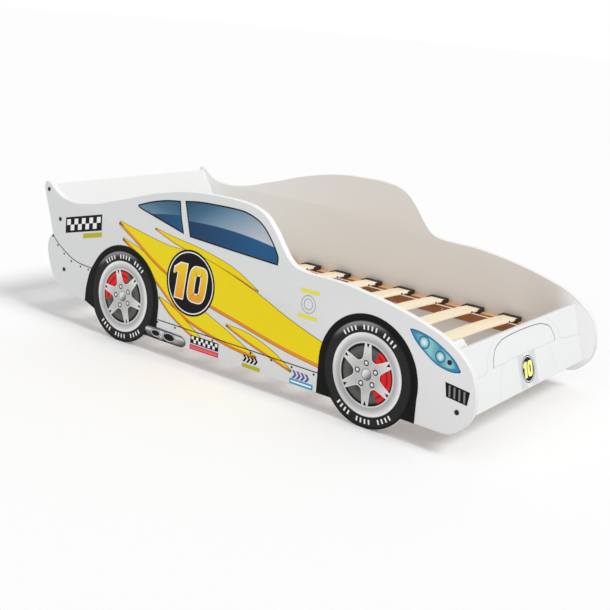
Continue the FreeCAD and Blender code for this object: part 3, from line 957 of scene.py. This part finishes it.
EXHAUST = (
    [(-360, 62), (-344, 53.5), (-200, 53), (-178, 57)],
    [(-178, 57), (-168, 66), (-171, 80), (-190, 91)],
    [(-190, 91), (-300, 94), (-346, 94), (-362, 88), (-369, 76), (-360, 62)])
EXHAUST_MIDDLE = (-265.0, 73.0)
EXHAUST_HALF, EXHAUST_RIM = 20.0, 2.2
# each mouth: its place along the bed, half width and half height
MOUTHS = ((-314, 25, 14.5), (-248, 31, 17))
MOUTH_RIMS = (1.6, 3.4)


def windows(wall):
    for tag, outline in (("rear", REAR_WINDOW), ("front", FRONT_WINDOW)):
        window = Print()
        window.step_in(window.shape(figure(outline)), WINDOW_SEAL, 1)
        window.lay(wall, "window_" + tag, "navy glass_" + tag, MARK_LEVEL)


def panel_joints(wall):
    """Lines between body panels, with their rivets."""
    lines = [band(smooth(line), width) for line, width in JOINTS]
    Print().shapes(lines).lay(wall, "panel_joints", "line", MARK_LEVEL)
    rivets = Print()
    for x, z in RIVETS:
        rivets.disc(x, z, RIVET_R, 16)
    rivets.lay(wall, "rivets", "line", MARK_LEVEL)


def swept_stripes(wall, tag, stripes, level):
    """Yellow stripes, each with an amber lower edge and a thin dark outline."""
    outline, amber, yellow = Print(), Print(), Print()
    for line, widths, drop in stripes:
        outline.shape(ribbon([(x, z - drop / 2) for x, z in line],
                             [w + drop / 2 + STRIPE_OUTLINE for w in widths]))
        amber.shape(ribbon([(x, z - drop) for x, z in line], widths))
        yellow.shape(ribbon(line, widths))
    outline.lay(wall, tag + "_outlines", "edge_brown", level)
    amber.lay(wall, tag + "_edges", "amber", level + 1)
    yellow.lay(wall, tag + "_stripes", "yellow", level + 2)


def digit_one(x, z, tall, bold):
    """Outline of a one, in proportion to its height."""
    stem = tall * 0.15 + bold
    flag = stem + tall * 0.16
    half = tall / 2 + bold
    return [(x - stem, z - half), (x + stem, z - half), (x + stem, z + half), (x - stem * 0.6, z + half),
            (x - flag, z + half - tall * 0.17), (x - flag, z + half * 0.3), (x - stem, z + half * 0.5)]


def number_ten(x, z, tall, bold, lean, mirrored):
    """A print layer with a leaning number ten, grown by bold on every edge."""
    layer = Print()
    layer.shape(digit_one(x - tall * 0.36, z, tall, bold))
    zero = layer.shape(oval(x + tall * 0.27, z, tall * 0.33 + bold, tall / 2 + bold, 64, 0.6))
    layer.hollow(zero, tall * 0.215 + 2 * bold)
    turn = -1 if mirrored else 1
    for v in layer.bm.verts:
        v.co.x = x + turn * (v.co.x - x + (v.co.y - z) * lean)
    return layer


def roundel(wall, prefix, key, level, mirrored, place, r, sides, edges, tall, bold, lean):
    """Black roundel with a white ring and a plain number."""
    x, z = place
    ground = Print()
    ring = ground.step_in(ground.disc(x, z, r, sides), edges[0], 1)
    ground.step_in(ring, edges[1], 0)
    ground.lay(wall, prefix + "roundel", "black white", level)
    number_ten(x, z, tall, bold, lean, mirrored).lay(wall, prefix + "number_outline", "white", level + 1)
    number_ten(x, z, tall, 0.0, lean, mirrored).lay(wall, prefix + "number", key, level + 2)


def chequered_band(wall, tag, x, z, wide, tall, cell, columns, turn, shear):
    field = Print()
    field.bar(x, z, wide, tall, turn, shear)
    field.lay(wall, tag + "_chequer_field", "black", MARK_LEVEL)
    cells = Print().chequers(x, z, cell, columns, 2, turn, shear)
    cells.lay(wall, tag + "_chequers", "white", MARK_LEVEL + 1)


def chevrons(x, z, tall, step):
    """Outlines of a row of arrow heads that point to the nose."""
    out = []
    count = 4
    half = tall / 2
    side = step * 0.275
    tip = tall * 0.4
    for k in range(count):
        left = x + (k - (count - 1) / 2) * step - side
        right = left + 2 * side
        out.append([(left, z - half), (right, z - half), (right + tip, z), (right, z + half),
                    (left, z + half), (left + tip, z)])
    return out


def small_marks(wall):
    """Chequered bands, plain bars, chevrons and a ringed mark."""
    for chequered in CHEQUERS:
        chequered_band(wall, *chequered)
    for name, keys, x, z, wide, tall, turn, shear, border in BARS:
        bar = Print()
        face = bar.bar(x, z, wide, tall, turn, shear)
        if border:
            bar.step_in(face, border, 1)
        bar.lay(wall, name, keys, MARK_LEVEL + 1)
    for tag, key, x, z, tall, step in CHEVRONS:
        Print().shapes(chevrons(x, z, tall, step)).lay(wall, "sill_chevrons_" + tag, key, MARK_LEVEL)
    rings = Print()
    x, z, radii, width = RINGS
    for inner in radii:
        rings.ring(x, z, inner, width, 48)
    rings.lay(wall, "wing_rings", "grey", MARK_LEVEL)


def headlamp(wall):
    """Headlamp in three nested tones, with two round lamps."""
    for step, (name, key, part) in enumerate(HEADLAMP_TONES):
        layer = Print()
        layer.shape(figure(HEADLAMP))
        bmesh.ops.scale(layer.bm, vec=(part, part, 1), space=Matrix.Translation(-HEADLAMP_MIDDLE),
                        verts=layer.bm.verts)
        layer.lay(wall, name, key, LAMP_LEVEL + step)
    for tag, x, z, r in LAMPS:
        Print().ring(x, z, r, LAMP_RING, 40).lay(wall, "lamp_ring_" + tag, "blue_line", LAMP_LEVEL + 3)
        lens = Print((x, z), r)
        lens.disc(x, z, r, 40)
        lens.lay(wall, "lamp_lens_" + tag, "lens", LAMP_LEVEL + 3)


def side_intake(wall):
    """Dark opening behind the nose, with leaning fins."""
    intake = Print()
    intake.step_in(intake.shape(INTAKE), INTAKE_RIM, 1)
    intake.lay(wall, "intake", "black line", MARK_LEVEL)
    fins = Print()
    for k in range(FINS):
        x = FIRST_FIN[0] + FIN_STEP[0] * k
        z = FIRST_FIN[1] + FIN_STEP[1] * k
        fins.shape([(x, z), (x + FIN_WIDE, z - FIN_DROP), (x + FIN_WIDE - FIN_LEAN, z + FIN_TALL - FIN_DROP),
                    (x - FIN_LEAN, z + FIN_TALL)])
    fins.lay(wall, "intake_fins", "grey", MARK_LEVEL + 1)


def side_exhaust(wall):
    """Twin exhaust below the sill."""
    shell = Print(EXHAUST_MIDDLE, EXHAUST_HALF)
    shell.step_in(shell.shape(figure(EXHAUST)), EXHAUST_RIM, 1)
    shell.lay(wall, "exhaust", "black pipe", EXHAUST_LEVEL)
    mouths = Print()
    for x, wide, tall in MOUTHS:
        rim = mouths.step_in(mouths.shape(oval(x, EXHAUST_MIDDLE[1], wide, tall, 40)), MOUTH_RIMS[0], 1)
        mouths.step_in(rim, MOUTH_RIMS[1], 0)
    mouths.lay(wall, "exhaust_mouths", "black light_grey", EXHAUST_LEVEL + 1)


def side_prints(wall, mirrored):
    Print().shapes([arch_front(), arch_rear()]).lay(wall, "wheel_arches", "black", DISC_LEVEL)
    for each in WHEELS:
        wheel(wall, *each)
    windows(wall)
    panel_joints(wall)
    swept_stripes(wall, "minor", MINOR_STRIPES, BASE_LEVEL)
    swept_stripes(wall, "main", MAIN_STRIPES, MARK_LEVEL)
    roundel(wall, "", "digit", DISC_LEVEL, mirrored, **SIDE_ROUNDEL)
    small_marks(wall)
    headlamp(wall)
    side_intake(wall)
    side_exhaust(wall)


# -------- prints of the front board
# places across the bed and down from the board's top edge
WINDSCREEN = (
    [(-206, -89), (-200, -66), (-180, -36), (-135, -17)],
    [(-135, -17), (-60, -12), (60, -12), (135, -17)],
    [(135, -17), (190, -36), (212, -66), (218, -89)])
WINDSCREEN_FOOT = [(-203, -88.5), (0, -84.5), (216, -88.5)]
BODY_LINES = (
    [(-306, -97), (-249, -93), (-240, -70), (-222, -40), (-176, -3)],
    [(403, -103), (264, -90), (250, -66), (226, -36), (182, -4)])
BONNET_LINES = (
    [(-150, -92), (-172, -128), (-186, -180)],
    [(162, -92), (184, -128), (198, -180)])
# places of the stripes across the bed; their middle down the board, width and length
BONNET_STRIPES = (-32, 44)
STRIPE_SIZE = (-139, 42, 104)
BONNET_ROUNDEL = dict(place=(6, -137), r=43, sides=56, edges=(3.0, 2.4), tall=46, bold=1.6, lean=0.1)
HEAVY_LINE, BODY_LINE, FINE_LINE = 3.4, 2.2, 2.0


def front_prints(wall):
    """Windscreen outline, body and bonnet lines, twin stripes and a small roundel."""
    screen = figure(WINDSCREEN) + WINDSCREEN[-1][-1:]
    Print().shapes([band(screen, HEAVY_LINE)]).lay(wall, "windscreen_line", "grey", BASE_LEVEL + 1)
    body = [band(WINDSCREEN_FOOT, FINE_LINE)] + [band(smooth(line), BODY_LINE) for line in BODY_LINES]
    Print().shapes(body).lay(wall, "body_lines", "light_grey", BASE_LEVEL)
    bonnet = [band(smooth(line), FINE_LINE) for line in BONNET_LINES]
    Print().shapes(bonnet).lay(wall, "bonnet_lines", "light_grey", BASE_LEVEL)
    stripes = Print()
    for middle in BONNET_STRIPES:
        stripes.bar(middle, *STRIPE_SIZE)
    stripes.lay(wall, "bonnet_stripes", "light_grey", BASE_LEVEL)
    roundel(wall, "bonnet_", "lemon", BASE_LEVEL + 2, False, **BONNET_ROUNDEL)


# -------- build
side_board("side_panel_right", -1)
side_board("side_panel_left", 1)
end_board("front_board", FRONT_TOP, FRONT_LEAN, END_BOARD)
end_board("spoiler_board", SPOILER_TOP, SPOILER_LEAN, SPOILER_BOARD)
end_board("rear_board", REAR_TOP, 0.0, END_BOARD)
for index in range(SLATS):
    slat(index + 1, FIRST_SLAT + SLAT_PITCH * index)
    for side in ("right", "left"):
        eased_copy("slat_holder_%s_%02d" % (side, index + 1), "plastic", HOLDER_EASE)
for side in ("right", "left"):
    # the rails' tops take the lighter pine as painted light, their sides the darker pine as painted shade
    eased_copy("slat_rail_" + side, "pine", RAIL_EASE, "pine_top_painted_light")
    plain_finish("slat_tape_" + side, "webbing")
eased_copy("corner_block", "edge", BLOCK_EASE)
eased_copy("bolt_caps", "black_plastic", CAP_EASE)
plain_finish("tape_studs", "black_plastic")
for name in ("connecting_bolts", "barrel_nuts", "rail_screws"):
    plain_finish(name, "steel")

lean = math.radians(-FRONT_LEAN)
side_prints(Wall("right", (0, -HALF_WIDTH, 0), (1, 0, 0), (0, 0, 1), (0, -1, 0)), False)
side_prints(Wall("left", (0, HALF_WIDTH, 0), (1, 0, 0), (0, 0, 1), (0, 1, 0)), True)
front_prints(Wall("front", (FRONT_TOP[0], 0, FRONT_TOP[1]), (0, 1, 0), (-math.sin(lean), 0, math.cos(lean)),
                  (math.cos(lean), 0, math.sin(lean))))


# -------- floor, light and camera
FLOOR_SIZE = 60.0
WHITE = (1.0, 1.0, 1.0, 1.0)
FILL_LIGHT = 0.6
KEY_LIGHT = 1.63
KEY_SPREAD = 20
KEY_HEADING = (-0.66, 0.03, -0.75)
CAMERA_PLACE = (2.3278, -2.9924, 1.2249)
CAMERA_YAW, CAMERA_PITCH, CAMERA_ROLL = 34.88647, 4.54305, 4.80343
LENS = 62.33
LENS_SHIFT = (-0.1153, -0.3290)


def studio_floor():
    bm = bmesh.new()
    bmesh.ops.create_grid(bm, x_segments=1, y_segments=1, size=FLOOR_SIZE)
    mesh = bpy.data.meshes.new("floor")
    bm.to_mesh(mesh)
    bm.free()
    mesh.materials.append(Paint("floor_white", 0.9, 0.0).done((254, 254, 254)))
    floor = placed("floor", mesh)


def studio_world():
    """Soft fill for the object, and plain white for the camera, gloss and glass."""
    world = bpy.data.worlds.new("studio")
    scene.world = world
    world.use_nodes = True
    world.node_tree.nodes.clear()
    sky = Nodes(world.node_tree)
    lit, shown = (sky.node("ShaderNodeBackground", {"Color": WHITE, "Strength": strength}).outputs[0]
                  for strength in (FILL_LIGHT, 1.0))
    rays = sky.node("ShaderNodeLightPath").outputs
    seen = rays["Is Camera Ray"]
    for ray in ("Is Glossy Ray", "Is Transmission Ray"):
        seen = sky.math("MAXIMUM", seen, rays[ray])
    choice = sky.node("ShaderNodeMixShader", {0: seen, 1: lit, 2: shown})
    sky.node("ShaderNodeOutputWorld", {0: choice.outputs[0]})


def key_lamp():
    sun = bpy.data.lights.new("key", "SUN")
    sun.energy = KEY_LIGHT
    sun.angle = math.radians(KEY_SPREAD)
    lamp = placed("key", sun)
    lamp.rotation_mode = "QUATERNION"
    lamp.rotation_quaternion = Vector(KEY_HEADING).to_track_quat("-Z", "Y")


def photo_camera():
    """Camera at the photograph's place, with the picture level turned by its roll."""
    yaw, pitch, roll = (math.radians(v) for v in (CAMERA_YAW, CAMERA_PITCH, CAMERA_ROLL))
    forward = Vector((-math.sin(yaw) * math.cos(pitch), math.cos(yaw) * math.cos(pitch), -math.sin(pitch)))
    across = forward.cross(Vector((0, 0, 1))).normalized()
    upward = across.cross(forward)
    level_x = across * math.cos(roll) + upward * math.sin(roll)
    level_y = upward * math.cos(roll) - across * math.sin(roll)
    camera = bpy.data.cameras.new("camera")
    camera.sensor_width = 36.0
    camera.lens = LENS
    camera.shift_x, camera.shift_y = LENS_SHIFT
    view = placed("camera", camera)
    view.matrix_world = (Matrix.Translation(CAMERA_PLACE)
                         @ Matrix((level_x, level_y, -forward)).transposed().to_4x4())
    scene.camera = view


studio_floor()
studio_world()
key_lamp()
photo_camera()
scene.view_settings.view_transform = "Standard"
